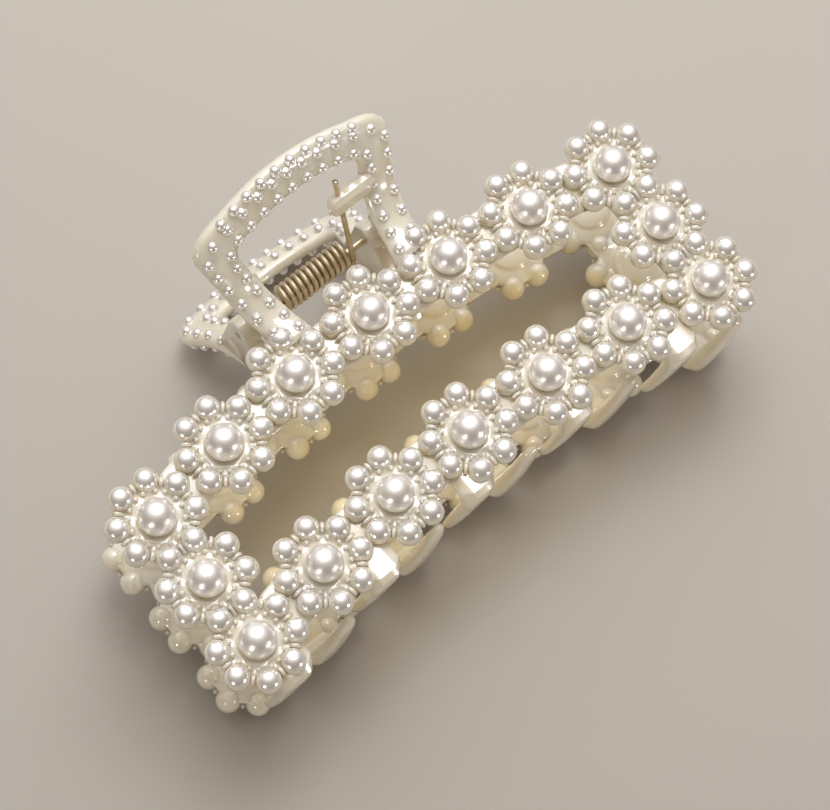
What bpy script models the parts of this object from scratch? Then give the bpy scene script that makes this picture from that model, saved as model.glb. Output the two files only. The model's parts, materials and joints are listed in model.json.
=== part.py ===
"""Square pearl-flower claw clip, lying closed on a table.

The model is built in the clip's own frame, in millimetres: X runs along the jaws, Y from the
teeth to the levers, Z out of the plane midway between the two jaws, which is Z = 0. Both jaws
are the same moulding: the back one is the front one turned half a turn about Y. The empty
clip_frame then tips the clip onto its lever and its two end flowers, as it lies on a table.
"""

import math

import bmesh
import bpy
from mathutils import Vector

MM = 0.001
GAP = 0.3  # left between neighbouring pieces
CUT_BEYOND = 3.0  # how far a cutter reaches past the material it cuts

# Jaw: flowers on a rectangular frame whose two long sides are arched in the jaw's own plane.
FLOWER_PITCH = 15.2
ARCH_RADIUS = 214.0
ROW_SPACING = 23.5  # hinge row to teeth row
ROW_END = 3  # flowers each side of the middle one
PEARL_PLANE = 12.3  # height of the big pearls' centres above the mid-plane
BAR_HALF_WIDTH = 4.3
BAR_BACK = 8.3
BAR_FRONT = 10.8
FRAME_STEPS = 12  # straight steps that each arched side is drawn with

# One flower: a ring of eight small pearls round a seat for one big pearl.
PETALS = 8
PETAL_RING = 6.07
PETAL_RADIUS = 2.0
PETAL_REACH = math.radians(105)  # how far a petal's outline turns each way from straight out
PETAL_POINTS = 4
FLOWER_BACK = 9.6
FLOWER_FRONT = 12.9
STAGGER = 0.04  # every second flower sits this much higher, so that no two faces coincide
PEARL_RADIUS = 3.0
PEARL_SEGMENTS = 10
PEARL_RINGS = 8
PEARL_BACK = 10.7  # the pearl's flat back
SEAT_RADIUS = PEARL_RADIUS + GAP
SEAT_FLOOR = PEARL_BACK - GAP
SEAT_SIDES = 12

# Teeth: five fingers a jaw, leaning along X so that the two jaws' teeth pass each other.
TOOTH_PITCH = 19.6
TOOTH_OFFSET = -3.9
TEETH = 5
TOOTH_LEAN = -3.8
TOOTH_ROOT_Z = 9.5
TOOTH_TIP_Z = -4.8
# Each station: the outer and the inner surface as (distance beyond the teeth row, height), and the width.
TOOTH_STATIONS = (
    ((2.6, 10.25), (2.6, 8.75), 6.2),
    ((7.75, 10.95), (5.3, 8.6), 6.2),
    ((8.75, 10.25), (5.9, 8.2), 6.1),
    ((9.2, 8.6), (6.3, 7.2), 5.8),
    ((9.2, 5.4), (6.6, 5.1), 5.2),
    ((9.05, 1.5), (6.75, 1.4), 4.3),
    ((8.65, -2.5), (6.75, -2.6), 3.5),
    ((8.1, -4.8), (6.8, -4.8), 2.6),
)

# Lever: a bent loop. Its front face runs flat, bends through an arc and goes on straight.
LEVER_START_Y = 3.4
LEVER_BEND_Y = 7.5
LEVER_Z = 12.0
LEVER_BEND_RADIUS = 9.5
LEVER_BEND = math.radians(56)
LEVER_THICKNESS = 3.0
LEG_SPLAY = 0.23  # sideways travel of a leg's edges for each millimetre of its length
LEVER_OUTER = {
    "foot": 14.0,
    "leg_end": 19.0,
    "corner": (19.3, 23.4),
    "top": 27.0,
    "sag": 2.3,
    "top_end": 12.5,
}
LEVER_INNER = {
    "foot": 8.1,
    "leg_end": 15.5,
    "corner": (12.3, 18.4),
    "top": 20.4,
    "sag": 1.4,
    "top_end": 8.5,
}
LEG_STEPS = 7
CORNER_STEPS = 4
TOP_STEPS = 8

# Hinge: each jaw has an outer ear on its right and an inner ear on its left.
PIN_Y = 11.7
PIN_RADIUS = 0.6
PIN_HALF_LENGTH = 15.2
EAR_TIP_RADIUS = 2.7
EAR_OUTER = (12.9, 15.5)
EAR_INNER = (-12.5, -10.0)
EAR_FOOT = ((-2.5, 9.2), (9.6, 10.0), (15.4, 13.3))  # (Y, Z) corners, on the frame and in the lever
ROUND_SIDES = 16

# Spring: one wire, coiled round the pin, with an arm through each lever's boss.
WIRE_RADIUS = 0.45
COIL_RADIUS = 1.95
COIL_Y = 12.0
COIL_HALF_LENGTH = 6.5
COIL_TURNS = 12
COIL_POINTS = 12  # a turn
ARM_ANGLE = math.radians(69)  # of the arm above the mid-plane
ARM_LENGTH = 21.0
ARM_STEPS = 4  # straight steps that each arm is drawn with
BOSS_ALONG_ARM = (13.2, 17.9)  # from where the arm leaves the coil
BOSS_X = (5.0, 12.6)
BOSS_THICKNESS = 2.6
ARM_HOLE_RADIUS = WIRE_RADIUS + 0.4

TIP_ANGLE = math.radians(12.5)  # of the clip as it rests on a table

CREAM = (0.86, 0.80, 0.68, 1.0)
PEARL = (0.90, 0.87, 0.82, 1.0)
BRASS = (0.72, 0.58, 0.34, 1.0)


def clear_scene():
    for old in list(bpy.data.objects):
        bpy.data.objects.remove(old)


def material(name, colour, roughness, metallic=0.0):
    made = bpy.data.materials.new(name)
    made.use_nodes = True
    shader = made.node_tree.nodes["Principled BSDF"]
    shader.inputs["Base Color"].default_value = colour
    shader.inputs["Roughness"].default_value = roughness
    shader.inputs["Metallic"].default_value = metallic
    return made


def row_point(step, row):
    """(x, y) of a flower's centre, step flowers from the middle of row 0 (hinge side) to 2 (teeth side)."""
    turn = step * FLOWER_PITCH / ARCH_RADIUS
    x = ARCH_RADIUS * math.sin(turn)
    y = -ARCH_RADIUS * (1 - math.cos(turn)) - row * ROW_SPACING / 2
    return x, y


def row_y(x, row):
    """Height of a long row's arc at x."""
    return math.sqrt(ARCH_RADIUS**2 - x**2) - ARCH_RADIUS - row * ROW_SPACING / 2


def mesh_object(name, bm, parent=None, helper=False):
    """Turns a closed bmesh in millimetres into an object in metres."""
    bmesh.ops.recalc_face_normals(bm, faces=bm.faces)
    bmesh.ops.scale(bm, vec=(MM, MM, MM), verts=bm.verts)
    mesh = bpy.data.meshes.new(name)
    bm.to_mesh(mesh)
    bm.free()
    made = bpy.data.objects.new(name, mesh)
    made.parent = parent
    if helper:
        made.hide_render = True
        made.display_type = "WIRE"
    return made


def tube(loops, closed_ends=True):
    """A bmesh skinned over loops of the same number of points."""
    bm = bmesh.new()
    rings = [[bm.verts.new(point) for point in loop] for loop in loops]
    count = len(rings[0])
    pairs = list(zip(rings, rings[1:] if closed_ends else rings[1:] + rings[:1]))
    for near, far in pairs:
        for k in range(count):
            after = (k + 1) % count
            bm.faces.new((near[k], near[after], far[after], far[k]))
    if closed_ends:
        bm.faces.new(reversed(rings[0]))
        bm.faces.new(rings[-1])
    return bm


def at_height(points, z):
    return [(x, y, z) for x, y in points]


def prism(points, low, high):
    """A bmesh with the outline points, from one height to another."""
    return tube([at_height(points, low), at_height(points, high)])


def circle(cx, cy, radius, sides):
    turns = (math.tau * (k + 0.5) / sides for k in range(sides))
    return [(cx + radius * math.cos(turn), cy + radius * math.sin(turn)) for turn in turns]


def frame_outline(outward):
    """The jaw frame's outline, this far outside (or, if negative, inside) the flowers' centres."""
    end = row_point(ROW_END, 0)[0] + outward
    xs = [end * (2 * k / FRAME_STEPS - 1) for k in range(FRAME_STEPS + 1)]
    hinge_side = [(x, row_y(x, 0) + outward) for x in xs]
    teeth_side = [(x, row_y(x, 2) - outward) for x in reversed(xs)]
    return hinge_side + teeth_side


def frame_ring():
    outer = frame_outline(BAR_HALF_WIDTH)
    inner = frame_outline(-BAR_HALF_WIDTH)
    loops = [
        at_height(outer, BAR_BACK),
        at_height(outer, BAR_FRONT),
        at_height(inner, BAR_FRONT),
        at_height(inner, BAR_BACK),
    ]
    return tube(loops, closed_ends=False)


def flower_places():
    """(x, y, turn) of the sixteen flowers: the long rows' inner flowers turn with the arch."""
    places = []
    for row in (0, 2):
        for step in range(-ROW_END, ROW_END + 1):
            turn = 0.0 if abs(step) == ROW_END else -step * FLOWER_PITCH / ARCH_RADIUS
            places.append((*row_point(step, row), turn))
    for step in (-ROW_END, ROW_END):
        places.append((*row_point(step, 1), 0.0))
    return places


def flower_outline(x, y, turn):
    points = []
    for petal in range(PETALS):
        out = turn + math.tau * (petal + 0.5) / PETALS
        cx = x + PETAL_RING * math.cos(out)
        cy = y + PETAL_RING * math.sin(out)
        for k in range(PETAL_POINTS):
            side = out + PETAL_REACH * (2 * k / (PETAL_POINTS - 1) - 1)
            points.append((cx + PETAL_RADIUS * math.cos(side), cy + PETAL_RADIUS * math.sin(side)))
    return points


def tooth(step):
    """A tapering finger with a flat root pad, turned down off the frame and leaning along X."""
    root_x = TOOTH_OFFSET + TOOTH_PITCH * step
    row = row_y(root_x, 2)
    loops = []
    for (outer_out, outer_z), (inner_out, inner_z), width in TOOTH_STATIONS:
        below = max(0.0, TOOTH_ROOT_Z - (outer_z + inner_z) / 2) / (TOOTH_ROOT_Z - TOOTH_TIP_Z)
        x = root_x + TOOTH_LEAN * below
        outer = Vector((x, row - outer_out, outer_z))
        inner = Vector((x, row - inner_out, inner_z))
        half = Vector((width / 2, 0, 0))
        loops.append([inner - half, inner + half, outer + half, outer - half])
    return tube(loops)


def lever_profile(along, raised):
    """(y, z) at a distance along the lever's front face, raised in front of that face."""
    flat = LEVER_BEND_Y - LEVER_START_Y
    bend_length = LEVER_BEND_RADIUS * LEVER_BEND
    angle = min(max(along - flat, 0.0) / LEVER_BEND_RADIUS, LEVER_BEND)
    rest = max(along - flat - bend_length, 0.0)
    y = LEVER_START_Y + min(along, flat) + LEVER_BEND_RADIUS * math.sin(angle) + rest * math.cos(angle)
    z = LEVER_Z + LEVER_BEND_RADIUS * (1 - math.cos(angle)) + rest * math.sin(angle)
    return y - raised * math.sin(angle), z + raised * math.cos(angle)


def lever_edge(edge):
    """(x, along) points of one edge of the lever's loop, from the left foot round to the right one."""

    def top_along(x):
        return edge["top"] - edge["sag"] * (x / edge["top_end"]) ** 2

    leg_end = Vector((edge["foot"] + LEG_SPLAY * edge["leg_end"], edge["leg_end"]))
    corner = Vector(edge["corner"])
    top_end = Vector((edge["top_end"], top_along(edge["top_end"])))
    right = []
    for k in range(LEG_STEPS):
        along = edge["leg_end"] * k / LEG_STEPS
        right.append((edge["foot"] + LEG_SPLAY * along, along))
    for k in range(CORNER_STEPS + 1):
        t = k / CORNER_STEPS
        point = leg_end * (1 - t) ** 2 + corner * 2 * t * (1 - t) + top_end * t**2
        right.append(tuple(point))
    top = []
    for k in range(1, TOP_STEPS):
        x = edge["top_end"] * (2 * k / TOP_STEPS - 1)
        top.append((x, top_along(x)))
    left = [(-x, along) for x, along in right]
    return left + top + right[::-1]


def lever():
    loops = []
    for outer, inner in zip(lever_edge(LEVER_OUTER), lever_edge(LEVER_INNER)):
        loops.append(
            [
                (outer[0], *lever_profile(outer[1], 0.0)),
                (inner[0], *lever_profile(inner[1], 0.0)),
                (inner[0], *lever_profile(inner[1], -LEVER_THICKNESS)),
                (outer[0], *lever_profile(outer[1], -LEVER_THICKNESS)),
            ]
        )
    return tube(loops)


def arm_frame():
    """The front arm's start on the coil, its direction, and the direction square to both it and X."""
    along = Vector((0, math.cos(ARM_ANGLE), math.sin(ARM_ANGLE)))
    outward = Vector((0, -along.z, along.y))
    start = Vector((COIL_HALF_LENGTH, COIL_Y, 0)) + outward * COIL_RADIUS
    return start, along, outward


def boss():
    """A bar from the lever's right leg into its window, which the spring's arm goes through."""
    start, along, outward = arm_frame()
    loops = []
    for x in BOSS_X:
        loop = []
        for reach, side in ((0, -1), (1, -1), (1, 1), (0, 1)):
            point = start + along * BOSS_ALONG_ARM[reach] + outward * side * BOSS_THICKNESS / 2
            point.x = x
            loop.append(point)
        loops.append(loop)
    return tube(loops)


def ear(reach):
    """A hinge ear: a plate from the frame and the lever's underside to a round end about the pin."""
    outline = list(EAR_FOOT)
    for k in range(ROUND_SIDES // 2 + 1):
        turn = math.radians(10) - math.pi * k / (ROUND_SIDES // 2)
        outline.append((PIN_Y + EAR_TIP_RADIUS * math.cos(turn), EAR_TIP_RADIUS * math.sin(turn)))
    return tube([[(x, y, z) for y, z in outline] for x in reach])


def x_cylinder(radius, low, high, sides=ROUND_SIDES):
    """A cylinder along X about the pin's axis."""
    return tube([[(x, y, z) for y, z in circle(PIN_Y, 0, radius, sides)] for x in (low, high)])


def arm_hole():
    start, along, outward = arm_frame()
    loops = []
    for reach in (BOSS_ALONG_ARM[0] - CUT_BEYOND, BOSS_ALONG_ARM[1] + CUT_BEYOND):
        centre = start + along * reach
        points = circle(0, 0, ARM_HOLE_RADIUS, 8)
        loops.append([centre + Vector((u, 0, 0)) + outward * v for u, v in points])
    return tube(loops)


def boolean(target, operation, helpers):
    """Joins or cuts the helpers, one modifier each, and keeps the result in the target's mesh."""
    for helper in helpers:
        bpy.context.scene.collection.objects.link(helper)
        modifier = target.modifiers.new(helper.name, "BOOLEAN")
        modifier.operation = operation
        modifier.solver = "EXACT"
        modifier.object = helper
    bpy.context.view_layer.update()
    evaluated = target.evaluated_get(bpy.context.evaluated_depsgraph_get())
    mesh = bpy.data.meshes.new_from_object(evaluated)
    target.modifiers.clear()
    target.data = mesh
    for helper in helpers:
        bpy.data.objects.remove(helper)


def jaw_mesh():
    """The whole moulding: frame, flowers, teeth, ears, lever and boss, with its seats and holes cut."""
    jaw = mesh_object("jaw", frame_ring())
    bpy.context.scene.collection.objects.link(jaw)
    places = flower_places()
    joined = []
    for index, (x, y, turn) in enumerate(places):
        lift = STAGGER * (index % 2)
        outline = flower_outline(x, y, turn)
        base = prism(outline, FLOWER_BACK + lift, FLOWER_FRONT + lift)
        joined.append(mesh_object("flower", base, helper=True))
    for step in range(-(TEETH // 2), TEETH // 2 + 1):
        joined.append(mesh_object("tooth", tooth(step), helper=True))
    joined.append(mesh_object("lever", lever(), helper=True))
    joined.append(mesh_object("boss", boss(), helper=True))
    joined.append(mesh_object("outer_ear", ear(EAR_OUTER), helper=True))
    joined.append(mesh_object("inner_ear", ear(EAR_INNER), helper=True))
    boolean(jaw, "UNION", joined)
    cut = []
    for x, y, _ in places:
        seat = prism(circle(x, y, SEAT_RADIUS, SEAT_SIDES), SEAT_FLOOR, FLOWER_FRONT + CUT_BEYOND)
        cut.append(mesh_object("seat", seat, helper=True))
    cut_end = PIN_HALF_LENGTH + CUT_BEYOND
    pin_hole = x_cylinder(PIN_RADIUS + GAP, -cut_end, cut_end)
    cut.append(mesh_object("pin_hole", pin_hole, helper=True))
    cut.append(mesh_object("arm_hole", arm_hole(), helper=True))
    boolean(jaw, "DIFFERENCE", cut)
    mesh = jaw.data
    bpy.data.objects.remove(jaw)
    return mesh


def pearl_mesh():
    """A big pearl: a ball with a flat back, its axis along Z and its centre at the origin."""
    bm = bmesh.new()
    bmesh.ops.create_uvsphere(
        bm, u_segments=PEARL_SEGMENTS, v_segments=PEARL_RINGS, radius=PEARL_RADIUS
    )
    flat = PEARL_BACK - PEARL_PLANE
    cut = bmesh.ops.bisect_plane(
        bm,
        geom=bm.verts[:] + bm.edges[:] + bm.faces[:],
        plane_co=(0, 0, flat),
        plane_no=(0, 0, -1),
        clear_outer=True,
    )
    rim = [item for item in cut["geom_cut"] if isinstance(item, bmesh.types.BMEdge)]
    bmesh.ops.contextual_create(bm, geom=rim)
    bmesh.ops.scale(bm, vec=(MM, MM, MM), verts=bm.verts)
    bmesh.ops.recalc_face_normals(bm, faces=bm.faces)
    mesh = bpy.data.meshes.new("big_pearl")
    bm.to_mesh(mesh)
    bm.free()
    return mesh


def spring_path():
    """The wire from the front arm's end round the coil to the back arm's end."""
    start, along, outward = arm_frame()
    arm = [start + along * ARM_LENGTH * k / ARM_STEPS for k in range(1, ARM_STEPS + 1)]
    points = arm[::-1]
    first = math.atan2(outward.z, outward.y)
    last = math.tau - first + math.tau * COIL_TURNS
    steps = round((last - first) / math.tau * COIL_POINTS)
    for k in range(steps + 1):
        t = k / steps
        turn = first + (last - first) * t
        x = COIL_HALF_LENGTH * (1 - 2 * t)
        points.append(Vector((x, COIL_Y + COIL_RADIUS * math.cos(turn), COIL_RADIUS * math.sin(turn))))
    half_turn = Vector((-1, 1, -1))  # the back arm is the front one turned about Y
    points += [point * half_turn for point in arm]
    return points


def wire(name, points, radius, parent):
    curve = bpy.data.curves.new(name, "CURVE")
    curve.dimensions = "3D"
    curve.bevel_depth = radius * MM
    curve.bevel_resolution = 1
    curve.use_fill_caps = True
    spline = curve.splines.new("POLY")
    spline.points.add(len(points) - 1)
    for slot, point in zip(spline.points, points):
        slot.co = (*(point * MM), 1.0)
    made = bpy.data.objects.new(name, curve)
    made.parent = parent
    return made


def place(made, finish):
    bpy.context.scene.collection.objects.link(made)
    made.data.materials.append(finish)


def stand_on_table(root):
    """Moves the tipped clip so that the middle of its box's underside is at the origin."""
    bpy.context.view_layer.update()
    graph = bpy.context.evaluated_depsgraph_get()
    corners = []
    for made in bpy.context.scene.collection.objects:
        if made.type == "EMPTY":
            continue
        evaluated = made.evaluated_get(graph)
        mesh = evaluated.to_mesh()
        corners += [evaluated.matrix_world @ vertex.co for vertex in mesh.vertices]
        evaluated.to_mesh_clear()
    low = [min(corner[axis] for corner in corners) for axis in range(3)]
    high = [max(corner[axis] for corner in corners) for axis in range(3)]
    root.location = (-(low[0] + high[0]) / 2, -(low[1] + high[1]) / 2, -low[2])
    bpy.context.view_layer.update()


def build():
    clear_scene()
    cream = material("cream_plastic", CREAM, 0.25)
    pearl = material("pearl", PEARL, 0.3)
    brass = material("brass", BRASS, 0.3, 1.0)

    root = bpy.data.objects.new("clip_frame", None)
    root.rotation_euler.x = TIP_ANGLE
    bpy.context.scene.collection.objects.link(root)
    hinge = bpy.data.objects.new("hinge_axis", None)
    hinge.location = (0, PIN_Y * MM, 0)
    hinge.parent = root
    bpy.context.scene.collection.objects.link(hinge)

    moulding = jaw_mesh()
    moulding.materials.clear()
    moulding.materials.append(cream)
    big_pearl = pearl_mesh()
    big_pearl.materials.append(pearl)
    for side in ("front", "back"):
        seat = bpy.data.objects.new(side + "_side", None)
        seat.location = (0, -PIN_Y * MM, 0)
        seat.rotation_euler.y = 0 if side == "front" else math.pi
        seat.parent = hinge
        bpy.context.scene.collection.objects.link(seat)
        jaw = bpy.data.objects.new(side + "_jaw", moulding)
        jaw.parent = seat
        bpy.context.scene.collection.objects.link(jaw)
        for index, (x, y, _) in enumerate(flower_places(), start=1):
            piece = bpy.data.objects.new(f"{side}_pearl_{index:02d}", big_pearl)
            piece.location = (x * MM, y * MM, PEARL_PLANE * MM)
            piece.parent = seat
            bpy.context.scene.collection.objects.link(piece)

    pin = x_cylinder(PIN_RADIUS, -PIN_HALF_LENGTH, PIN_HALF_LENGTH)
    place(mesh_object("hinge_pin", pin, root), brass)
    place(wire("torsion_spring", spring_path(), WIRE_RADIUS, root), brass)
    stand_on_table(root)


build()
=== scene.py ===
"""Looks of the pearl-flower claw clip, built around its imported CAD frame.

Shapes are worked out in the clip's own frame, in millimetres: X along the jaws, Y from the teeth to the
levers, Z out of the plane midway between the jaws. Both jaws are the same moulding, so each piece is
made for the front jaw, and turned half a turn about Y for the back one.
"""

import json
import math

import bpy
import numpy as np
from mathutils import Matrix, Vector


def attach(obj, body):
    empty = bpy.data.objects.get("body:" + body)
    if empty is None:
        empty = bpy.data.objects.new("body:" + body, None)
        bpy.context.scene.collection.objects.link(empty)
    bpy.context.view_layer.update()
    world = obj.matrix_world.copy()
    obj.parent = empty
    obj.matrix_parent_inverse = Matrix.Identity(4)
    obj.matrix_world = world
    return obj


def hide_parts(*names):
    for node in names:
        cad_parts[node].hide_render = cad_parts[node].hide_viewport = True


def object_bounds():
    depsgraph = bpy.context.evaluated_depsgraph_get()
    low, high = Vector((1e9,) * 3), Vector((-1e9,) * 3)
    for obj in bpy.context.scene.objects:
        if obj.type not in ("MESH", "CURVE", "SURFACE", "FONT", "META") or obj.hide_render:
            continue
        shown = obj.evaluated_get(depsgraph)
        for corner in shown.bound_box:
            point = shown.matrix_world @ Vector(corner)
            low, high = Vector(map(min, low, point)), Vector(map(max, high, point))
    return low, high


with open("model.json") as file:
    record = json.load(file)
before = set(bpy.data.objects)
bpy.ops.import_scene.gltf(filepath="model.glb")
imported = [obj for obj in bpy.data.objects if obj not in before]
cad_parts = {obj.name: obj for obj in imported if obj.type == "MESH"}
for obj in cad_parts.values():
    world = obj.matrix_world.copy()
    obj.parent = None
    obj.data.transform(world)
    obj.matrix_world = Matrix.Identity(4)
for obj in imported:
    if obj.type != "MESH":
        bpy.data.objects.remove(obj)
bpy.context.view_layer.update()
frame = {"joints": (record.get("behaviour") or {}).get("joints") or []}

MM = 0.001

# Jaw: flowers on a rectangular frame whose two long sides are arched.
FLOWER_PITCH = 15.2
ARCH_RADIUS = 214.0
ROW_SPACING = 23.5
ROW_END = 3  # flowers each side of the middle one
BAR_HALF_WIDTH = 4.2
BAR_BACK = 9.0
BAR_FRONT = 10.0
BAR_CORNER = 4.6
BAR_POWER = 3.0  # how square the bar's section is
SIDE_STEPS = 40  # along each arched side of the bar's middle line
CORNER_STEPS = 8
SAME_PLACE = 0.2  # steps of the bar's middle line shorter than this are left out

# One flower: a big pearl in a ring of eight small ones, on a thin web.
PETALS = 8
PETAL_TURNS = [math.tau * (k + 0.5) / PETALS for k in range(PETALS)]
PETAL_RING = 6.07
PEARL_RADIUS = 2.9
PEARL_PLANE = 12.3
PEARL_BACK = 10.7
PETAL_RADIUS = 2.0
PETAL_PLANE = 10.85
PETAL_BACK = 8.35  # a petal's back bulges down to here
COAT_LIFT = 0.025  # of a small pearl's lacquer above the plastic
COAT_EDGE = math.radians(51)  # how far the lacquer reaches down a petal from its top
WEB_TOP = 10.8
WEB_BACK = 9.0
WEB_VALLEY = 6.0  # from the flower's middle to the web's edge between two petals
WEB_LOBE = 1.4  # how much further the edge reaches at a petal
WEB_LOBE_POWER = 1.3
WEB_SIDES = 96
WEB_RINGS = (1.5, 2.9, 3.3, 3.7, 4.1, 4.5, 4.9, 5.3, 5.8, 6.6, 8.0)
WEB_EDGE = 0.35  # width and depth of the bevel round the web's top
WEB_BACK_SHARE = 0.94  # of the web's width, at its back
WEB_BACK_BEVEL = 0.4
FILLET_HEIGHT = 0.55  # how far the web climbs against a petal
FILLET_START = 1.75  # distance from the petal's middle
FILLET_FADE = 0.35
LIP_HEIGHT = 0.18  # of the raised lip round the big pearl
LIP_RADIUS = 3.3
LIP_FADE = 0.4
CUP_RADIUS = 3.6  # of the round back behind a big pearl
CUP_BACK = 8.2
CUP_PROFILE = (  # share of its radius, height
    (1.12, WEB_BACK),
    (1.03, WEB_BACK - 0.15),
    (0.97, CUP_BACK + 0.35),
    (0.88, CUP_BACK),
    (0.4, CUP_BACK),
)
SHARED = 2.0  # two petals closer than this are one
CREVICE_RING = 4.2  # the tiny beads between the big pearl and its petals
CREVICE_TURN = math.radians(13)  # of a tiny bead, each side of its petal
CREVICE_RADIUS = 0.42
CREVICE_PLANE = 11.35
BRIDGE_RADIUS = 0.34  # the short ridge between two petals
BRIDGE_STATIONS = (  # distance out, height
    (5.0, 11.0),
    (5.3, 11.3),
    (5.7, 11.45),
    (6.1, 11.3),
    (6.4, 10.9),
)

# Teeth: a flat root pad that turns down into a finger.
TOOTH_PITCH = 19.6
TOOTH_OFFSET = -3.9
TEETH = 5
TOOTH_LEAN = -3.8  # along X, from root to tip
TOOTH_ROOT_Z = 9.5  # the lean starts at this height
TOOTH_TIP_Z = -4.8  # and is complete at this one
# Each station: the outer and the inner surface as (distance beyond the teeth row, height), and the width.
TOOTH_PAD = (
    ((2.6, 10.25), (2.6, 8.75), 6.2),
    ((7.75, 10.95), (5.3, 8.6), 6.2),
)
TOOTH_FINGER = (
    ((8.75, 10.25), (5.9, 8.2), 6.1),
    ((9.2, 8.6), (6.3, 7.2), 5.8),
    ((9.2, 5.4), (6.6, 5.1), 5.2),
    ((9.05, 1.5), (6.75, 1.4), 4.3),
    ((8.65, -2.5), (6.75, -2.6), 3.5),
    ((8.2, -4.2), (6.8, -4.2), 2.6),
)
PAD_FLAT = 0.52  # of a tooth's root pad, the share of its width that is flat
PAD_DROP = 0.5  # and how far its chamfers come down its thickness
PAD_BACK = ((1, -0.6), (0.7, -1))  # the chamfer of its inner face, in half widths and half thicknesses
ROUND_POWER = 0.75  # of a finger's rounded section: 1 is an ellipse, 0 a box
ROUND_STEPS = 6  # rings over which the pad's section turns into the finger's
FINGER_STEPS = 5  # rings between two stations of the finger
TOOTH_END = ((0.9, 0.3), (0.68, 0.52), (0.36, 0.64))  # the rounded tip's rings: size, distance ahead
TOOTH_END_REACH = 0.68

# Lever: a bent loop of band. Its front face runs flat, bends through an arc and goes on straight.
LEVER_START_Y = 3.4
LEVER_BEND_Y = 7.5
LEVER_Z = 12.0
LEVER_BEND_RADIUS = 9.5
LEVER_BEND = math.radians(56)
LEVER_THICKNESS = 3.0
LEG_SPLAY = 0.23
LEVER_OUTER = {
    "foot": 14.0,
    "leg_end": 19.0,
    "corner": (19.3, 23.4),
    "top": 27.0,
    "sag": 2.3,
    "top_end": 12.5,
}
LEVER_INNER = {
    "foot": 8.1,
    "leg_end": 15.5,
    "corner": (12.3, 18.4),
    "top": 20.4,
    "sag": 1.4,
    "top_end": 8.5,
}
BAND_POWER = 2.5  # how square the band's section is

# Rows of beads on the lever, placed across its band from the window's edge.
BEAD_RADIUS = 0.94
BEAD_SPACING = 2.85
BEAD_SINK = 0.1  # of a bead's middle below the band's surface
INNER_ROW = 0.25
INNER_ROW_START = 0.5  # along the lever, where the row's lowest bead may be
OUTER_ROW = 0.715
OUTER_ROW_START = 3.0
LEG_OUTER_ROW = 0.80  # where the outer row runs on the legs
LEG_TOP = 19.5  # where the outer row starts to shift towards that, along the lever
LEG_SHIFT = 4.0  # and the length it takes
LEG_TURN = 24.9  # below this the outer row is spaced as on the legs
LEG_SPACING = 3.33
RIM_ROW = 0.90
RIM_ROW_START = 23.8

# Hinge and spring.
PIN_Y = 11.7
PIN_RADIUS = 0.6
PIN_HALF_LENGTH = 15.2
PIN_EDGE = 0.15
EAR_TIP_RADIUS = 2.7
EAR_TIP_START = math.radians(10)
EAR_TIP_STEPS = 24
EAR_SIDE_STEPS = 8
EAR_OUTER = (12.9, 15.5)
EAR_INNER = (-12.5, -10.0)
EAR_FOOT = ((-2.5, 9.2), (9.6, 10.0), (15.4, 13.3))
EAR_EDGE = 0.45  # depth of the rounded edge
EAR_ROUNDING = ((0.0, 0.93), (0.4, 0.98), (1.0, 1.0))  # share of that depth, size of the outline there
EAR_HOLE_RADIUS = PIN_RADIUS + 0.15
WIRE_RADIUS = 0.45
COIL_RADIUS = 1.95
COIL_Y = 12.0
COIL_HALF_LENGTH = 6.5
COIL_TURNS = 12
STEPS_PER_TURN = 30
ARM_ANGLE = math.radians(69)
ARM_LENGTH = 21.0
ARM_STEPS = 24
BOSS_ALONG_ARM = (13.5, 17.7)
BOSS_X = (4.5, 12.6)
BOSS_THICKNESS = 2.4
BOSS_CHAMFER = 0.75
BOSS_END = ((0.5, 0.0), (0.8, 0.2), (0.94, 0.5), (1.0, 0.9))  # its free end: size, distance along X
BOSS_TILT = math.radians(11)  # of the bar about its own length

# The clip rests tipped on its back lever and its end flowers, with its pin on the frame's joint.
TIP_ANGLE = math.radians(12.5)
HINGE_POINT = Vector(frame["joints"][0]["pos_m"])
CLIP_TO_ROW = (
    Matrix.Translation(HINGE_POINT)
    @ Matrix.Rotation(TIP_ANGLE, 4, "X")
    @ Matrix.Scale(MM, 4)
    @ Matrix.Translation((0, -PIN_Y, 0))
)
SIDES = {"front": Matrix.Identity(4), "back": Matrix.Rotation(math.pi, 4, "Y")}


# Shapes: each is (points, quads, triangles).


def loft(rings, closed=False, poles=None):
    """Skins rings of the same number of points. The two ends are closed by fans about the poles."""
    rings = np.asarray(rings, float)
    count, sides = rings.shape[:2]
    points = rings.reshape(-1, 3)
    at = np.arange(count * sides).reshape(count, sides)
    near = at if closed else at[:-1]
    far = np.roll(at, -1, axis=0) if closed else at[1:]
    quads = np.stack([near, np.roll(near, -1, 1), np.roll(far, -1, 1), far], -1).reshape(-1, 4)
    triangles = np.zeros((0, 3), int)
    if not closed:
        ends = poles if poles is not None else (rings[0].mean(0), rings[-1].mean(0))
        points = np.vstack([points, ends[0], ends[1]])
        first = np.full(sides, count * sides)
        start = np.stack([first, np.roll(at[0], -1), at[0]], -1)
        finish = np.stack([first + 1, at[-1], np.roll(at[-1], -1)], -1)
        triangles = np.vstack([start, finish])
    shape = points, quads, triangles
    return inside_out(shape) if volume(shape) < 0 else shape


def volume(shape):
    points, quads, triangles = shape
    corners = np.vstack([quads[:, [0, 1, 2]], quads[:, [0, 2, 3]], triangles])
    a, b, c = (points[corners[:, k]] for k in range(3))
    return np.einsum("ij,ij->i", a, np.cross(b, c)).sum()


def inside_out(shape):
    points, quads, triangles = shape
    return points, quads[:, ::-1], triangles[:, ::-1]


def moved(shape, offset):
    points, quads, triangles = shape
    return points + np.asarray(offset, float), quads, triangles


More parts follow.
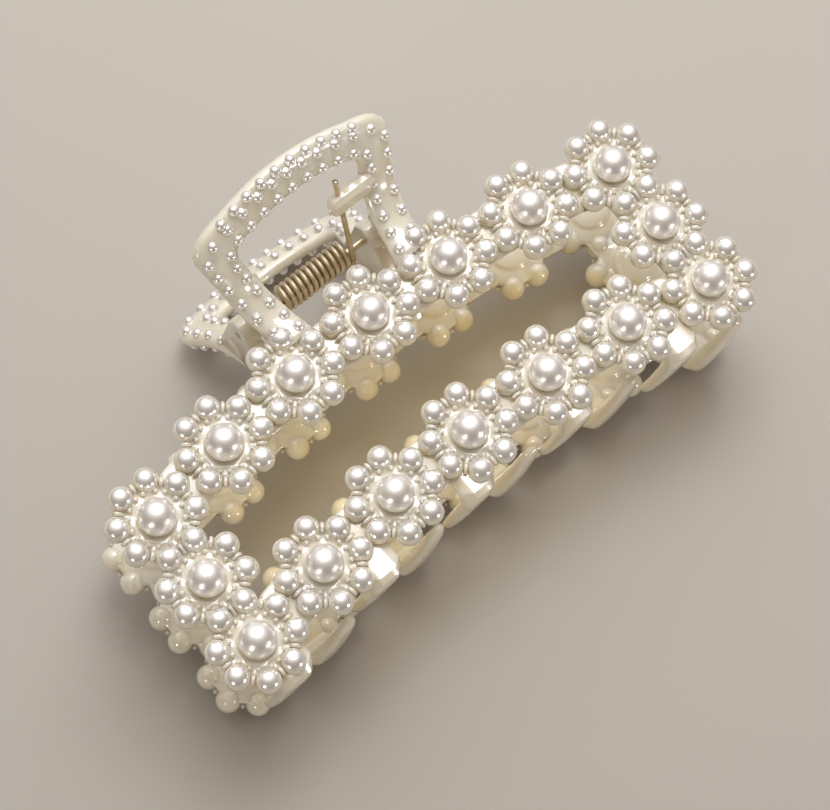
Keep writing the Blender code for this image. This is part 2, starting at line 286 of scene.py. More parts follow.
def turned(profile, sides):
    """A shape turned about Z: the profile's (radius, height) points run from one pole to the other."""
    angle = np.arange(sides) * math.tau / sides
    circle = np.stack([np.cos(angle), np.sin(angle)], -1)
    rings = [np.column_stack([radius * circle, np.full(sides, z)]) for radius, z in profile[1:-1]]
    poles = (0, 0, profile[0][1]), (0, 0, profile[-1][1])
    return loft(rings, poles=poles)


def ball(radius, sides, rings):
    """A ball about the origin."""
    tilt = [math.pi * k / rings for k in range(rings + 1)]
    return turned([(radius * math.sin(t), -radius * math.cos(t)) for t in tilt], sides)


def petal_ball(sides, rings):
    """A petal's plastic: round in front, and drawn out a little at the back."""
    tilt = [math.pi * k / rings for k in range(rings + 1)]
    stretch = (PETAL_PLANE - PETAL_BACK) / PETAL_RADIUS
    heights = [-math.cos(t) * PETAL_RADIUS * (stretch if math.cos(t) > 0 else 1.0) for t in tilt]
    return turned([(PETAL_RADIUS * math.sin(t), z) for t, z in zip(tilt, heights)], sides)


def petal_coat(sides, rings):
    """The lacquer over a petal's front, as a shell with a thin rounded edge."""
    tilt = [COAT_EDGE * k / rings for k in range(rings + 1)]
    outside = PETAL_RADIUS + COAT_LIFT
    inside = PETAL_RADIUS - COAT_LIFT
    profile = [(outside * math.sin(t), outside * math.cos(t)) for t in tilt]
    edge = COAT_EDGE + COAT_LIFT / PETAL_RADIUS
    profile.append((PETAL_RADIUS * math.sin(edge), PETAL_RADIUS * math.cos(edge)))
    profile += [(inside * math.sin(t), inside * math.cos(t)) for t in reversed(tilt)]
    return turned(profile, sides)


def cap(radius, base, sides, rings):
    """The part of a ball above the height base, closed by a flat back."""
    lowest = math.acos(base / radius)
    tilt = [lowest * (1 - k / rings) for k in range(rings + 1)]
    profile = [(radius * math.sin(t), radius * math.cos(t)) for t in tilt]
    return turned([(0.0, base)] + profile, sides)


def superellipse(count, power):
    """Points round a rounded square of half width 1."""
    angle = (np.arange(count) + 0.5) * math.tau / count
    u, v = np.cos(angle), np.sin(angle)
    return np.sign(u) * np.abs(u) ** (2 / power), np.sign(v) * np.abs(v) ** (2 / power)


def tube(path, radius, sides=12):
    """A round wire along the path, with its section carried along without twist."""
    path = np.asarray(path, float)
    along = np.gradient(path, axis=0)
    along /= np.linalg.norm(along, axis=1)[:, None]
    side = np.cross(along[0], (1.0, 0.3, 0.2))
    rings = []
    for centre, forward in zip(path, along):
        side = side - forward * (side @ forward)
        side /= np.linalg.norm(side)
        other = np.cross(forward, side)
        turn = np.arange(sides)[:, None] * math.tau / sides
        rings.append(centre + radius * (np.cos(turn) * side + np.sin(turn) * other))
    return loft(rings)


# Places on the jaw.


def row_point(step, row):
    """(x, y) of a flower: step counts from the middle, row 0 is the hinge row and 2 the teeth row."""
    turn = step * FLOWER_PITCH / ARCH_RADIUS
    return ARCH_RADIUS * math.sin(turn), row_y(ARCH_RADIUS * math.sin(turn), row)


def row_y(x, row):
    return math.sqrt(ARCH_RADIUS**2 - x**2) - ARCH_RADIUS - row * ROW_SPACING / 2


def flower_places():
    """(x, y, turn) of the sixteen flowers: the long rows' inner flowers turn with the arch."""
    places = []
    for row in (0, 2):
        for step in range(-ROW_END, ROW_END + 1):
            turn = 0.0 if abs(step) == ROW_END else -step * FLOWER_PITCH / ARCH_RADIUS
            places.append((*row_point(step, row), turn))
    for step in (-ROW_END, ROW_END):
        x = row_point(step, 0)[0]
        y = (row_point(step, 0)[1] + row_point(step, 2)[1]) / 2
        places.append((x, y, 0.0))
    return places


def petal_places():
    """(x, y) of the small pearls. Where two flowers' petals would meet, they share one."""
    found = []
    for x, y, turn in flower_places():
        for petal in PETAL_TURNS:
            angle = turn + petal
            point = np.array([x + PETAL_RING * math.cos(angle), y + PETAL_RING * math.sin(angle)])
            near = [place for place, other in enumerate(found) if np.linalg.norm(point - other) < SHARED]
            if near:
                found[near[0]] = (found[near[0]] + point) / 2
            else:
                found.append(point)
    return found


def frame_path():
    """The middle line of the frame's bar: arched long sides and rounded corners."""
    end = row_point(ROW_END, 0)[0]
    reach = end - BAR_CORNER

    def long_side(row, sign):
        across = [sign * reach * (2 * k / SIDE_STEPS - 1) for k in range(SIDE_STEPS + 1)]
        return [(x, row_y(x, row)) for x in across]

    def corner(side, row, first):
        lift = -BAR_CORNER if row == 0 else BAR_CORNER
        x, y = side * reach, row_y(end, row) + lift
        turns = [math.radians(first - 90 * k / CORNER_STEPS) for k in range(CORNER_STEPS + 1)]
        return [(x + BAR_CORNER * math.cos(turn), y + BAR_CORNER * math.sin(turn)) for turn in turns]

    hinge_side = long_side(0, 1) + corner(1, 0, 90)
    teeth_side = corner(1, 2, 0) + long_side(2, -1) + corner(-1, 2, -90)
    return np.array(hinge_side + teeth_side + corner(-1, 0, 180))


# The moulding's shapes.


def frame_bar():
    """The flat bar that the flowers sit on, as a closed loop."""
    path = frame_path()
    keep = np.linalg.norm(path - np.roll(path, 1, axis=0), axis=1) > SAME_PLACE
    path = path[keep]
    along = np.roll(path, -1, axis=0) - np.roll(path, 1, axis=0)
    along /= np.linalg.norm(along, axis=1)[:, None]
    left = np.stack([-along[:, 1], along[:, 0]], -1)
    u, v = superellipse(24, BAR_POWER)
    middle, half = (BAR_BACK + BAR_FRONT) / 2, (BAR_FRONT - BAR_BACK) / 2
    rings = []
    for point, across in zip(path, left):
        flat = point + np.outer(u * BAR_HALF_WIDTH, across)
        rings.append(np.column_stack([flat, middle + half * v]))
    return loft(rings, closed=True)


def web():
    """The thin plate under one flower, lobed towards its petals and drawn up round each of them."""
    angle = np.arange(WEB_SIDES) * math.tau / WEB_SIDES
    lobe = (1 + np.cos(PETALS * (angle - math.pi / PETALS))) / 2
    reach = WEB_VALLEY + WEB_LOBE * lobe**WEB_LOBE_POWER

    def ring(radius, height):
        x, y = radius * np.cos(angle), radius * np.sin(angle)
        return np.stack([x, y, np.broadcast_to(height, angle.shape)], -1)

    def top_ring(radius):
        x, y = radius * np.cos(angle), radius * np.sin(angle)
        away = [np.hypot(x - PETAL_RING * math.cos(t), y - PETAL_RING * math.sin(t)) for t in PETAL_TURNS]
        fillet = FILLET_HEIGHT * np.exp(-np.maximum(np.min(away, axis=0) - FILLET_START, 0) / FILLET_FADE)
        lip = LIP_HEIGHT * np.exp(-(((radius - LIP_RADIUS) / LIP_FADE) ** 2))
        return ring(radius, WEB_TOP + fillet + lip)

    rings = [top_ring(np.minimum(radius, reach - WEB_EDGE)) for radius in WEB_RINGS]
    rings.append(ring(reach, rings[-1][:, 2] - WEB_EDGE))
    rings.append(ring(reach, WEB_BACK + WEB_BACK_BEVEL))
    rings.append(ring(reach * WEB_BACK_SHARE, WEB_BACK))
    rings += [ring(share * CUP_RADIUS, height) for share, height in CUP_PROFILE]
    return loft(rings, poles=((0, 0, WEB_TOP), (0, 0, CUP_BACK)))


def flower_details():
    """The tiny beads between one big pearl and its petals, and the ridges between the petals."""
    shapes = []
    bead = ball(CREVICE_RADIUS, sides=12, rings=7)
    for petal in PETAL_TURNS:
        for angle in (petal - CREVICE_TURN, petal + CREVICE_TURN):
            spot = CREVICE_RING * math.cos(angle), CREVICE_RING * math.sin(angle), CREVICE_PLANE
            shapes.append(moved(bead, spot))
    for k in range(PETALS):
        angle = math.tau * k / PETALS
        out = np.array([math.cos(angle), math.sin(angle), 0.0])
        path = [out * distance + [0, 0, height] for distance, height in BRIDGE_STATIONS]
        shapes.append(tube(path, BRIDGE_RADIUS, sides=10))
    return shapes


def rotated(shape, turn, x, y):
    """The shape turned about Z and set down at (x, y)."""
    points, quads, triangles = shape
    c, s = math.cos(turn), math.sin(turn)
    spun = points @ np.array([[c, s, 0], [-s, c, 0], [0, 0, 1]])
    return spun + [x, y, 0], quads, triangles


def catmull(stations, steps):
    """A smooth curve through the stations."""
    stations = np.asarray(stations, float)
    padded = np.vstack([2 * stations[0] - stations[1], stations, 2 * stations[-1] - stations[-2]])
    made = []
    for k in range(len(stations) - 1):
        a, b, c, d = padded[k : k + 4]
        square, cube = 2 * a - 5 * b + 4 * c - d, 3 * b - a - 3 * c + d
        for t in np.arange(steps) / steps:
            made.append(0.5 * (2 * b + (c - a) * t + square * t**2 + cube * t**3))
    made.append(stations[-1])
    return np.array(made)


def tooth_section(round_share):
    """Points round a tooth's section of half width 1: a chamfered bar at 0, a rounded one at 1."""
    corners = [(PAD_FLAT, 1), (1, 1 - 2 * PAD_DROP), *PAD_BACK]
    corners += [(-x, z) for x, z in reversed(corners)]
    corners = np.array(corners)
    following = np.roll(corners, -1, axis=0)
    shares = (0.03, 0.35, 0.65, 0.97)  # of the way from each corner to the next
    points = np.concatenate([corners * (1 - t) + following * t for t in shares])
    points = points[np.argsort(np.arctan2(points[:, 1], points[:, 0]))]
    angle = np.arctan2(points[:, 1], points[:, 0])
    circle = np.stack([np.cos(angle), np.sin(angle)], -1)
    rounded = np.sign(circle) * np.abs(circle) ** ROUND_POWER
    return points * (1 - round_share) + rounded * round_share


def tooth(step):
    """A tapering finger with a flat chamfered root pad, leaning along X."""
    root_x = TOOTH_OFFSET + TOOTH_PITCH * step
    row = row_y(root_x, 2)
    pad = [(*outer, *inner, width) for outer, inner, width in TOOTH_PAD]
    finger = catmull([(*outer, *inner, width) for outer, inner, width in TOOTH_FINGER], FINGER_STEPS)
    rings, middles = [], []
    for index, (outer_y, outer_z, inner_y, inner_z, width) in enumerate([*pad, *finger]):
        z = (outer_z + inner_z) / 2
        x = root_x + TOOTH_LEAN * max(0.0, TOOTH_ROOT_Z - z) / (TOOTH_ROOT_Z - TOOTH_TIP_Z)
        outer = np.array([x, row - outer_y, outer_z])
        inner = np.array([x, row - inner_y, inner_z])
        section = tooth_section(min(1.0, max(0.0, (index - len(pad)) / ROUND_STEPS)))
        middle = (outer + inner) / 2
        across, half = np.array([width / 2, 0, 0]), (outer - inner) / 2
        rings.append(middle + np.outer(section[:, 0], across) + np.outer(section[:, 1], half))
        middles.append(middle)
    last, end = rings[-1], middles[-1]
    forward = (end - middles[-2]) / np.linalg.norm(end - middles[-2])
    for size, ahead in TOOTH_END:
        rings.append(end + (last - end) * size + forward * ahead)
    return loft(rings, poles=(middles[0], end + forward * TOOTH_END_REACH))


def lever_profile(along, raised):
    """(y, z) at a distance along the lever's front face, raised in front of that face."""
    flat = LEVER_BEND_Y - LEVER_START_Y
    bend_length = LEVER_BEND_RADIUS * LEVER_BEND
    angle = np.clip((along - flat) / LEVER_BEND_RADIUS, 0.0, LEVER_BEND)
    rest = np.maximum(along - flat - bend_length, 0.0)
    y = LEVER_START_Y + np.minimum(along, flat) + LEVER_BEND_RADIUS * np.sin(angle) + rest * np.cos(angle)
    z = LEVER_Z + LEVER_BEND_RADIUS * (1 - np.cos(angle)) + rest * np.sin(angle)
    return y - raised * np.sin(angle), z + raised * np.cos(angle)


def lever_edge(edge):
    """(x, along) points of one edge of the lever's loop, from the left foot round to the right one."""
    leg_steps, corner_steps, top_steps = 18, 12, 24
    leg_end = np.array([edge["foot"] + LEG_SPLAY * edge["leg_end"], edge["leg_end"]])
    corner = np.array(edge["corner"])
    top_end = np.array([edge["top_end"], edge["top"] - edge["sag"]])
    right = []
    for k in range(leg_steps):
        along = edge["leg_end"] * k / leg_steps
        right.append((edge["foot"] + LEG_SPLAY * along, along))
    for k in range(corner_steps + 1):
        t = k / corner_steps
        right.append(tuple(leg_end * (1 - t) ** 2 + corner * 2 * t * (1 - t) + top_end * t**2))
    top = []
    for k in range(1, top_steps):
        x = edge["top_end"] * (2 * k / top_steps - 1)
        top.append((x, edge["top"] - edge["sag"] * (x / edge["top_end"]) ** 2))
    left = [(-x, along) for x, along in right]
    return np.array(left + top + right[::-1])


def lever():
    """The lever's loop, as a rounded band from one foot to the other."""
    u, v = superellipse(28, BAND_POWER)
    rings = []
    for inner, outer in zip(lever_edge(LEVER_INNER), lever_edge(LEVER_OUTER)):
        across, raised = (1 + u) / 2, LEVER_THICKNESS * (v - 1) / 2
        flat = inner + np.outer(across, outer - inner)
        y, z = lever_profile(flat[:, 1], raised)
        rings.append(np.stack([flat[:, 0], y, z], -1))
    return loft(rings)


def bead_row(across, face, first, lowest, leg_across=None, leg_spacing=BEAD_SPACING):
    """Bead centres along one row of the lever, spaced evenly each way from its middle.

    The row lies at the share across of the band, on its front for face 1 and on its back for -1, and
    leaves out beads less than lowest along the lever. It can shift to leg_across on the legs.
    """
    inner, outer = lever_edge(LEVER_INNER), lever_edge(LEVER_OUTER)
    leg_across = across if leg_across is None else leg_across
    down = np.clip((LEG_TOP - inner[:, 1]) / LEG_SHIFT, 0.0, 1.0)
    share = across + (leg_across - across) * down
    cosine = np.abs(2 * share - 1) ** (BAND_POWER / 2)
    depth = LEVER_THICKNESS * (1 - (1 - cosine**2) ** (1 / BAND_POWER)) / 2
    raised = -depth - BEAD_SINK if face > 0 else depth + BEAD_SINK - LEVER_THICKNESS
    flat = inner + (outer - inner) * share[:, None]
    y, z = lever_profile(flat[:, 1], raised)
    line = np.stack([flat[:, 0], y, z], -1)
    steps = np.linalg.norm(np.diff(line, axis=0), axis=1)
    length = np.concatenate([[0], np.cumsum(steps)])
    middle = length[-1] / 2
    centres = []
    for sign in (-1, 1):
        reach = first
        while reach <= middle:
            where = middle + sign * reach
            along = np.interp(where, length, flat[:, 1])
            if along < lowest:
                break
            if sign > 0 or reach > 0:  # the middle bead belongs to one side only
                centres.append([np.interp(where, length, line[:, axis]) for axis in range(3)])
            reach += leg_spacing if along < LEG_TURN else BEAD_SPACING
    return centres


def lever_beads():
    """The beads of both faces of the lever; the front has a third row on its rim."""
    shapes = []
    bead = ball(BEAD_RADIUS, sides=14, rings=9)
    for face in (1, -1):
        rows = bead_row(INNER_ROW, face, 0.0, INNER_ROW_START)
        rows += bead_row(OUTER_ROW, face, 0.0, OUTER_ROW_START, LEG_OUTER_ROW, LEG_SPACING)
        if face > 0:
            rows += bead_row(RIM_ROW, face, BEAD_SPACING / 2, RIM_ROW_START)
        shapes += [moved(bead, centre) for centre in rows]
    return shapes


def arm_frame():
    """The front arm's start on the coil, its direction, and the direction square to both it and X."""
    along = np.array([0, math.cos(ARM_ANGLE), math.sin(ARM_ANGLE)])
    outward = np.array([0, -along[2], along[1]])
    start = np.array([COIL_HALF_LENGTH, COIL_Y, 0]) + outward * COIL_RADIUS
    return start, along, outward


def boss():
    """The chamfered bar that the spring's arm goes through, round at its free end."""
    start, along, outward = arm_frame()
    middle = start + along * sum(BOSS_ALONG_ARM) / 2
    upward = along * math.cos(BOSS_TILT) + outward * math.sin(BOSS_TILT)
    sideways = outward * math.cos(BOSS_TILT) - along * math.sin(BOSS_TILT)
    half_long, half_thick = (BOSS_ALONG_ARM[1] - BOSS_ALONG_ARM[0]) / 2, BOSS_THICKNESS / 2
    chamfer = (half_long, half_thick - BOSS_CHAMFER), (half_long - BOSS_CHAMFER, half_thick)
    outline = [(a * u, b * v) for a in (-1, 1) for b in (-1, 1) for u, v in chamfer]
    outline.sort(key=lambda point: math.atan2(point[1], point[0]))
    rings = []
    for size, x in (*BOSS_END, (1.0, BOSS_X[1] - BOSS_X[0])):
        ring = np.array([middle + upward * (u * size) + sideways * (v * size) for u, v in outline])
        ring[:, 0] = BOSS_X[0] + x
        rings.append(ring)
    return loft(rings)


def ear(reach):
    """A hinge ear: a plate from the frame to a round end, with the pin's hole and softened edges."""
    turns = [EAR_TIP_START - math.pi * k / EAR_TIP_STEPS for k in range(EAR_TIP_STEPS + 1)]
    tip = [(PIN_Y + EAR_TIP_RADIUS * math.cos(turn), EAR_TIP_RADIUS * math.sin(turn)) for turn in turns]
    corners = [tip[-1], *EAR_FOOT, tip[0]]
    outline = list(tip)
    for start, end in zip(corners, corners[1:]):
        for t in np.arange(1, EAR_SIDE_STEPS) / EAR_SIDE_STEPS:
            outline.append((start[0] + (end[0] - start[0]) * t, start[1] + (end[1] - start[1]) * t))
        if end != tip[0]:
            outline.append(end)
    centre = np.array([PIN_Y, 0.0])
    away = np.array(outline) - centre
    hole = away / np.linalg.norm(away, axis=1)[:, None] * EAR_HOLE_RADIUS
    low, high = reach
    # Each ring: where it is along X, and its points about the pin.
    stations = [(low + EAR_EDGE * depth, away * size) for depth, size in EAR_ROUNDING]
    stations += [(high - EAR_EDGE * depth, away * size) for depth, size in reversed(EAR_ROUNDING)]
    stations += [(high, hole), (low, hole)]
    rings = [np.column_stack([np.full(len(flat), x), centre + flat]) for x, flat in stations]
    return loft(rings, closed=True)


def arm_path():
    start, along, _ = arm_frame()
    return [start + along * ARM_LENGTH * k / ARM_STEPS for k in range(ARM_STEPS + 1)]


def coil():
    """The coil and the back arm, as one wire."""
    _, _, outward = arm_frame()
    first = math.atan2(outward[2], outward[1])
    last = math.tau - first + math.tau * COIL_TURNS
    steps = STEPS_PER_TURN * COIL_TURNS
    path = []
    for k in range(steps + 1):
        t = k / steps
        turn = first + (last - first) * t
        x = COIL_HALF_LENGTH * (1 - 2 * t)
        path.append((x, COIL_Y + COIL_RADIUS * math.cos(turn), COIL_RADIUS * math.sin(turn)))
    half_turn = np.array([-1, 1, -1])  # about Y, as the back jaw is turned
    path += [point * half_turn for point in arm_path()[1:]]
    return tube(path, WIRE_RADIUS)


def front_arm():
    return tube(arm_path(), WIRE_RADIUS)


def pin():
    end = [
        (0, -PIN_HALF_LENGTH),
        (PIN_RADIUS - PIN_EDGE, -PIN_HALF_LENGTH),
        (PIN_RADIUS, PIN_EDGE - PIN_HALF_LENGTH),
    ]
    profile = end + [(radius, -z) for radius, z in reversed(end)]
    points, quads, triangles = turned(profile, 24)
    along_x = points[:, [2, 0, 1]] + [0, PIN_Y, 0]
    return along_x, quads, triangles


# Materials.


SMALL_PEARL_STOPS = (
    (0.3, (0.90, 0.88, 0.855, 1.0)),
    (0.7, (0.97, 0.955, 0.935, 1.0)),
)
BIG_PEARL_STOPS = (
    (0.3, (0.88, 0.85, 0.82, 1.0)),
    (0.7, (0.96, 0.94, 0.915, 1.0)),
)
PLASTIC_STOPS = (
    (0.3, (0.98, 0.86, 0.68, 1.0)),
    (0.7, (1.0, 0.925, 0.80, 1.0)),
)
BRASS_STOPS = (
    (0.3, (0.58, 0.48, 0.33, 1.0)),
    (0.7, (0.74, 0.64, 0.47, 1.0)),
)
# The floor's colour with painted shade: darker towards the camera, in place of the key light's falloff
# across the table.
FLOOR_FALLOFF_STOPS = (
    (0.0, (0.42, 0.39, 0.35, 1.0)),
    (1.0, (0.526, 0.494, 0.447, 1.0)),
)
FLOOR_FALLOFF_AXIS = (0.62, 0.78, 0.0)  # towards the lighter side of the floor's painted light falloff
FLOOR_FALLOFF_FADE = 0.09  # metres each side of the middle over which its painted shade changes


def new_material(name, **values):
    """A material with a Principled shader. An underscore in a value's name is a space in its socket's."""
    material = bpy.data.materials.new(name)
    material.use_nodes = True
    shader = material.node_tree.nodes["Principled BSDF"]
    for socket, value in values.items():
        shader.inputs[socket.replace("_", " ")].default_value = value
    return material, material.node_tree, shader


def noise(tree, scale, detail):
    place = tree.nodes.new("ShaderNodeTexCoord")
    made = tree.nodes.new("ShaderNodeTexNoise")
    made.inputs["Scale"].default_value = scale
    made.inputs["Detail"].default_value = detail
    tree.links.new(place.outputs["Object"], made.inputs["Vector"])
    return made


def ramp(tree, factor, stops):
    """The colour at factor between the stops, each (position, colour)."""
    made = tree.nodes.new("ShaderNodeValToRGB")
    while len(made.color_ramp.elements) < len(stops):
        made.color_ramp.elements.new(0.5)
    for element, (position, colour) in zip(made.color_ramp.elements, stops):
        element.position = position
        element.color = colour
    tree.links.new(factor, made.inputs["Fac"])
    return made.outputs["Color"]


def grey(value):
    return (value, value, value, 1.0)


def bump(tree, shader, height, distance, strength):
    made = tree.nodes.new("ShaderNodeBump")
    made.inputs["Strength"].default_value = strength
    made.inputs["Distance"].default_value = distance
    tree.links.new(height, made.inputs["Height"])
    tree.links.new(made.outputs["Normal"], shader.inputs["Normal"])


def pearl_material(name, stops, roughness):
    """Nacre lacquer: cloudy colour, and a gloss that varies a little."""
    material, tree, shader = new_material(
        name,
        Metallic=0.68,
        IOR=1.6,
        Coat_Weight=0.6,
        Coat_Roughness=0.12,
    )
    cloud = noise(tree, scale=260, detail=3).outputs["Fac"]
    tree.links.new(ramp(tree, cloud, stops), shader.inputs["Base Color"])
    fine = noise(tree, scale=900, detail=4).outputs["Fac"]
    gloss = ramp(tree, fine, ((0.3, grey(roughness * 0.85)), (0.7, grey(roughness * 1.2))))
    tree.links.new(gloss, shader.inputs["Roughness"])
    bump(tree, shader, fine, distance=0.02 * MM, strength=0.4)
    return material


def plastic_material():
    """Translucent cream moulding with faint flow swirls."""
    material, tree, shader = new_material(
        "cream_plastic",
        IOR=1.52,
        Subsurface_Weight=0.6,
        Subsurface_Scale=1.2 * MM,
        Subsurface_Radius=(1.0, 0.9, 0.75),
        Transmission_Weight=0.2,
        Coat_Weight=1.0,
        Coat_Roughness=0.08,
        Coat_IOR=1.8,
    )
    swirl = noise(tree, scale=120, detail=4)
    swirl.inputs["Distortion"].default_value = 1.2
    tree.links.new(ramp(tree, swirl.outputs["Fac"], PLASTIC_STOPS), shader.inputs["Base Color"])
    fine = noise(tree, scale=700, detail=3).outputs["Fac"]
    tree.links.new(ramp(tree, fine, ((0.3, grey(0.14)), (0.7, grey(0.26)))), shader.inputs["Roughness"])
    bump(tree, shader, fine, distance=0.03 * MM, strength=0.35)
    return material


def brass_material():
    """Drawn brass wire, a little tarnished."""
    material, tree, shader = new_material("brass_wire", Metallic=1.0)
    tarnish = noise(tree, scale=500, detail=4).outputs["Fac"]
    tree.links.new(ramp(tree, tarnish, BRASS_STOPS), shader.inputs["Base Color"])
    tree.links.new(ramp(tree, tarnish, ((0.3, grey(0.45)), (0.7, grey(0.32)))), shader.inputs["Roughness"])
    grain = noise(tree, scale=2500, detail=2).outputs["Fac"]
    bump(tree, shader, grain, distance=0.02 * MM, strength=0.5)
    return material


def floor_material():
    """A plain pale table that darkens a little towards the camera: painted shade standing in for the key
    light's falloff.
    """
    material, tree, shader = new_material("floor", Roughness=0.9)
    place = tree.nodes.new("ShaderNodeTexCoord")
    along = tree.nodes.new("ShaderNodeVectorMath")
    along.operation = "DOT_PRODUCT"
    along.inputs[1].default_value = FLOOR_FALLOFF_AXIS
    tree.links.new(place.outputs["Object"], along.inputs[0])
    reach = tree.nodes.new("ShaderNodeMapRange")
    reach.inputs["From Min"].default_value = -FLOOR_FALLOFF_FADE
    reach.inputs["From Max"].default_value = FLOOR_FALLOFF_FADE
    tree.links.new(along.outputs["Value"], reach.inputs["Value"])
    # painted shade: the floor's colour runs darker towards the camera, standing in for the key light's
    # falloff
    shade = ramp(tree, reach.outputs["Result"], FLOOR_FALLOFF_STOPS)
    cloud = noise(tree, scale=6, detail=3).outputs["Fac"]
    mottle = ramp(tree, cloud, ((0.3, grey(0.98)), (0.7, grey(1.0))))
    product = tree.nodes.new("ShaderNodeVectorMath")
    product.operation = "MULTIPLY"
    tree.links.new(shade, product.inputs[0])
    tree.links.new(mottle, product.inputs[1])
    tree.links.new(product.outputs["Vector"], shader.inputs["Base Color"])
    return material


# Pieces.


def mesh_of(name, shapes, material, place=CLIP_TO_ROW, sharp=None):
    """One mesh of the shapes, smooth but for edges over the sharp angle in degrees."""
    points, faces, count = [], [], 0
    for shape in shapes:
        corners, quads, triangles = shape
        points.append(corners)
        faces += (quads + count).tolist() + (triangles + count).tolist()
        count += len(corners)
    points = np.vstack(points)
    matrix = np.array(place)
    points = points @ matrix[:3, :3].T + matrix[:3, 3]
    mesh = bpy.data.meshes.new(name)
    mesh.from_pydata(points.tolist(), [], faces)
    mesh.shade_smooth()
    if sharp is not None:
        mesh.set_sharp_from_angle(angle=math.radians(sharp))
    mesh.materials.append(material)
    mesh.update()
    return mesh


def show(name, mesh, body, nodes, place=None):
    """Adds the mesh as a piece that rides on the body and stands for the CAD nodes."""
    piece = bpy.data.objects.new(name, mesh)
    bpy.context.scene.collection.objects.link(piece)
    if place is not None:
        piece.matrix_world = place
    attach(piece, body)
    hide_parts(*nodes)


def build_jaw(side, plastic, small_pearl, big_pearl):
    place = CLIP_TO_ROW @ SIDES[side]
    body, node = side + "_half", side + "_jaw"
    flowers = flower_places()
    petals = [(x, y, PETAL_PLANE) for x, y in petal_places()]

    def add(name, shapes, material, sharp=None):
        mesh = mesh_of(f"{side}_{name}", shapes, material, place, sharp)
        show(f"{side}_{name}", mesh, body, [node])

    plate, details = web(), flower_details()
    webs, beads = [], []
    for x, y, turn in flowers:
        webs.append(rotated(plate, turn, x, y))
        beads += [rotated(shape, turn, x, y) for shape in details]
    plain, coat = petal_ball(sides=28, rings=16), petal_coat(sides=32, rings=10)
    teeth = [tooth(step) for step in range(-(TEETH // 2), TEETH // 2 + 1)]
    add("frame_bar", [frame_bar()], plastic)
    add("flower_webs", webs, plastic)
    add("seat_beads", beads, plastic)
    add("petal_balls", [moved(plain, petal) for petal in petals], plastic)
    add("small_pearls", [moved(coat, petal) for petal in petals], small_pearl)
    add("teeth", teeth, plastic, sharp=27)
    add("lever", [lever()], plastic)
    add("lever_beads", lever_beads(), small_pearl)
    add("spring_boss", [boss()], plastic, sharp=28)
    add("hinge_ears", [ear(EAR_OUTER), ear(EAR_INNER)], plastic, sharp=35)
    round_cap = cap(PEARL_RADIUS, PEARL_BACK - PEARL_PLANE, sides=48, rings=28)
    pearl = mesh_of(side + "_big_pearl", [round_cap], big_pearl, Matrix())
    for index, (x, y, _) in enumerate(flowers, start=1):
        number = f"pearl_{index:02d}"
        spot = place @ Matrix.Translation((x, y, PEARL_PLANE))
        show(f"{side}_big_{number}", pearl, body, [f"{side}_{number}"], spot)


def build_spring_and_pin(brass):
    for name, shape, body, node, sharp in (
        ("spring_coil", coil(), "back_half", "torsion_spring", None),
        ("spring_arm", front_arm(), "front_half", "torsion_spring", None),
        ("pin", pin(), "back_half", "hinge_pin", 35),
    ):
        show(name, mesh_of(name, [shape], brass, sharp=sharp), body, [node])


# Stage: floor, lights and camera, in metres and watts.


CAMERA_AZIMUTH = math.radians(38.41)  # of the view direction, from +Y towards +X
CAMERA_ELEVATION = math.radians(65.66)
CAMERA_ROLL = math.radians(2.28)
CAMERA_AIM = Vector((0.24, -8.39, 15.0)) * MM
CAMERA_DISTANCE = 439.1 * MM
CAMERA_LENS = 121.45  # mm, on the sensor below
CAMERA_SENSOR = 36.0
CAMERA_CLIP = (0.01, 10.0)
FLOOR_HALF = 4.0
LIGHTS = (  # name, direction from the camera's aim, distance, size, power, colour
    ("key", (0.26, 0.2, 0.945), 0.42, (0.20, 0.26), 0.76, (1.0, 0.985, 0.97)),
    ("left_fill", (-0.911, -0.342, 0.226), 0.8, (0.10, 0.10), 0.9, (1.0, 0.97, 0.94)),
    ("right_fill", (0.334, -0.942, 0.10), 0.8, (0.10, 0.10), 0.9, (1.0, 0.97, 0.94)),
)
GLOW_PLACE = (0.0, -0.012, 0.020)
GLOW_SIZE = (0.070, 0.012)
GLOW_POWER = 0.0024
GLOW_COLOUR = (1.0, 0.72, 0.14)
SKY_AXIS = (0.28, 0.42, 0.86)  # towards the brightest part of the surroundings
SKY_STRENGTH = 1.95
SKY_STOPS = (
    (0.0, (0.09, 0.07, 0.05, 1.0)),
    (0.45, (0.13, 0.105, 0.08, 1.0)),
    (0.75, (0.40, 0.37, 0.34, 1.0)),
    (0.97, (0.88, 0.89, 0.93, 1.0)),
)


def camera_axes():
    """The camera's right, up and backward directions."""
    level = math.cos(CAMERA_ELEVATION)
    forward_x, forward_y = math.sin(CAMERA_AZIMUTH) * level, math.cos(CAMERA_AZIMUTH) * level
    forward = Vector((forward_x, forward_y, -math.sin(CAMERA_ELEVATION)))
    right = forward.cross(Vector((0, 0, 1))).normalized()
    up = right.cross(forward)
    rolled = up * math.cos(CAMERA_ROLL) + right * math.sin(CAMERA_ROLL)
    return forward.cross(rolled), rolled, -forward


def add_camera():
    right, up, back = camera_axes()
    data = bpy.data.cameras.new("camera")
    data.sensor_width = CAMERA_SENSOR
    data.lens = CAMERA_LENS
    camera = bpy.data.objects.new("camera", data)
    matrix = Matrix((right, up, back)).transposed().to_4x4()
    matrix.translation = CAMERA_AIM + back * CAMERA_DISTANCE
    camera.matrix_world = matrix
    data.clip_start, data.clip_end = CAMERA_CLIP
    bpy.context.scene.collection.objects.link(camera)
    bpy.context.scene.camera = camera


def area_lamp(name, size, power, colour):
    data = bpy.data.lights.new(name, "AREA")
    data.shape = "RECTANGLE"
    data.size, data.size_y = size
    data.energy = power
    data.color = colour
    lamp = bpy.data.objects.new(name, data)
    bpy.context.scene.collection.objects.link(lamp)
    return lamp


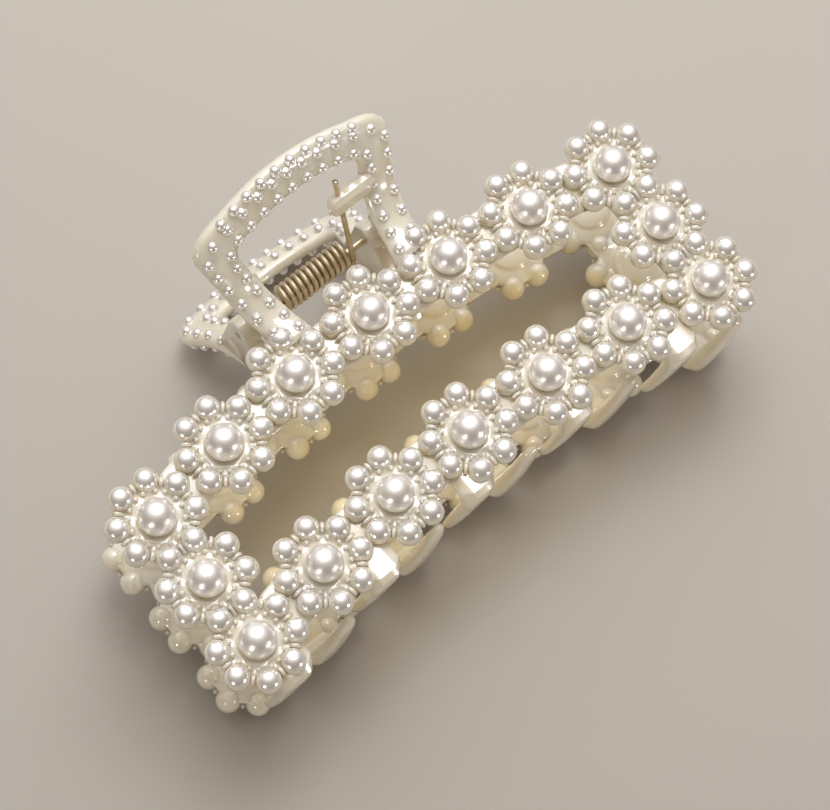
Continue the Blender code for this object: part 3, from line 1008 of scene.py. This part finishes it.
def add_light(name, direction, distance, size, power, colour):
    """A lamp that shines at the camera's aim from the given direction."""
    lamp = area_lamp(name, size, power, colour)
    direction = Vector(direction).normalized()
    lamp.location = CAMERA_AIM + direction * distance
    lamp.rotation_euler = direction.to_track_quat("Z", "Y").to_euler()


def add_glow():
    """The warm light that the translucent plastic passes on to the floor inside the clip."""
    lamp = area_lamp("glow", GLOW_SIZE, GLOW_POWER, GLOW_COLOUR)
    lamp.location = GLOW_PLACE
    lamp.visible_camera = lamp.visible_glossy = False


def sky_gradient(tree):
    """Surroundings that are bright overhead and on the far side, and dark behind the camera."""
    background = tree.nodes["Background"]
    direction = tree.nodes.new("ShaderNodeTexCoord")
    toward = tree.nodes.new("ShaderNodeVectorMath")
    toward.operation = "DOT_PRODUCT"
    toward.inputs[1].default_value = Vector(SKY_AXIS).normalized()
    tree.links.new(direction.outputs["Generated"], toward.inputs[0])
    colour = ramp(tree, toward.outputs["Value"], SKY_STOPS)
    tree.links.new(colour, background.inputs["Color"])
    background.inputs["Strength"].default_value = SKY_STRENGTH


def add_floor():
    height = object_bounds()[0][2]
    near, far = -FLOOR_HALF, FLOOR_HALF
    corners = [(near, near, height), (far, near, height), (far, far, height), (near, far, height)]
    mesh = bpy.data.meshes.new("floor")
    mesh.from_pydata(corners, [], [(0, 1, 2, 3)])
    mesh.materials.append(floor_material())
    floor = bpy.data.objects.new("floor", mesh)
    bpy.context.scene.collection.objects.link(floor)


def add_surroundings():
    world = bpy.data.worlds.new("studio")
    world.use_nodes = True
    sky_gradient(world.node_tree)
    bpy.context.scene.world = world
    bpy.context.scene.view_settings.view_transform = "Standard"


def build():
    plastic = plastic_material()
    small_pearl = pearl_material("small_pearl", SMALL_PEARL_STOPS, roughness=0.22)
    big_pearl = pearl_material("big_pearl", BIG_PEARL_STOPS, roughness=0.30)
    for side in SIDES:
        build_jaw(side, plastic, small_pearl, big_pearl)
    build_spring_and_pin(brass_material())
    add_camera()
    add_floor()
    for light in LIGHTS:
        add_light(*light)
    add_glow()
    add_surroundings()


build()
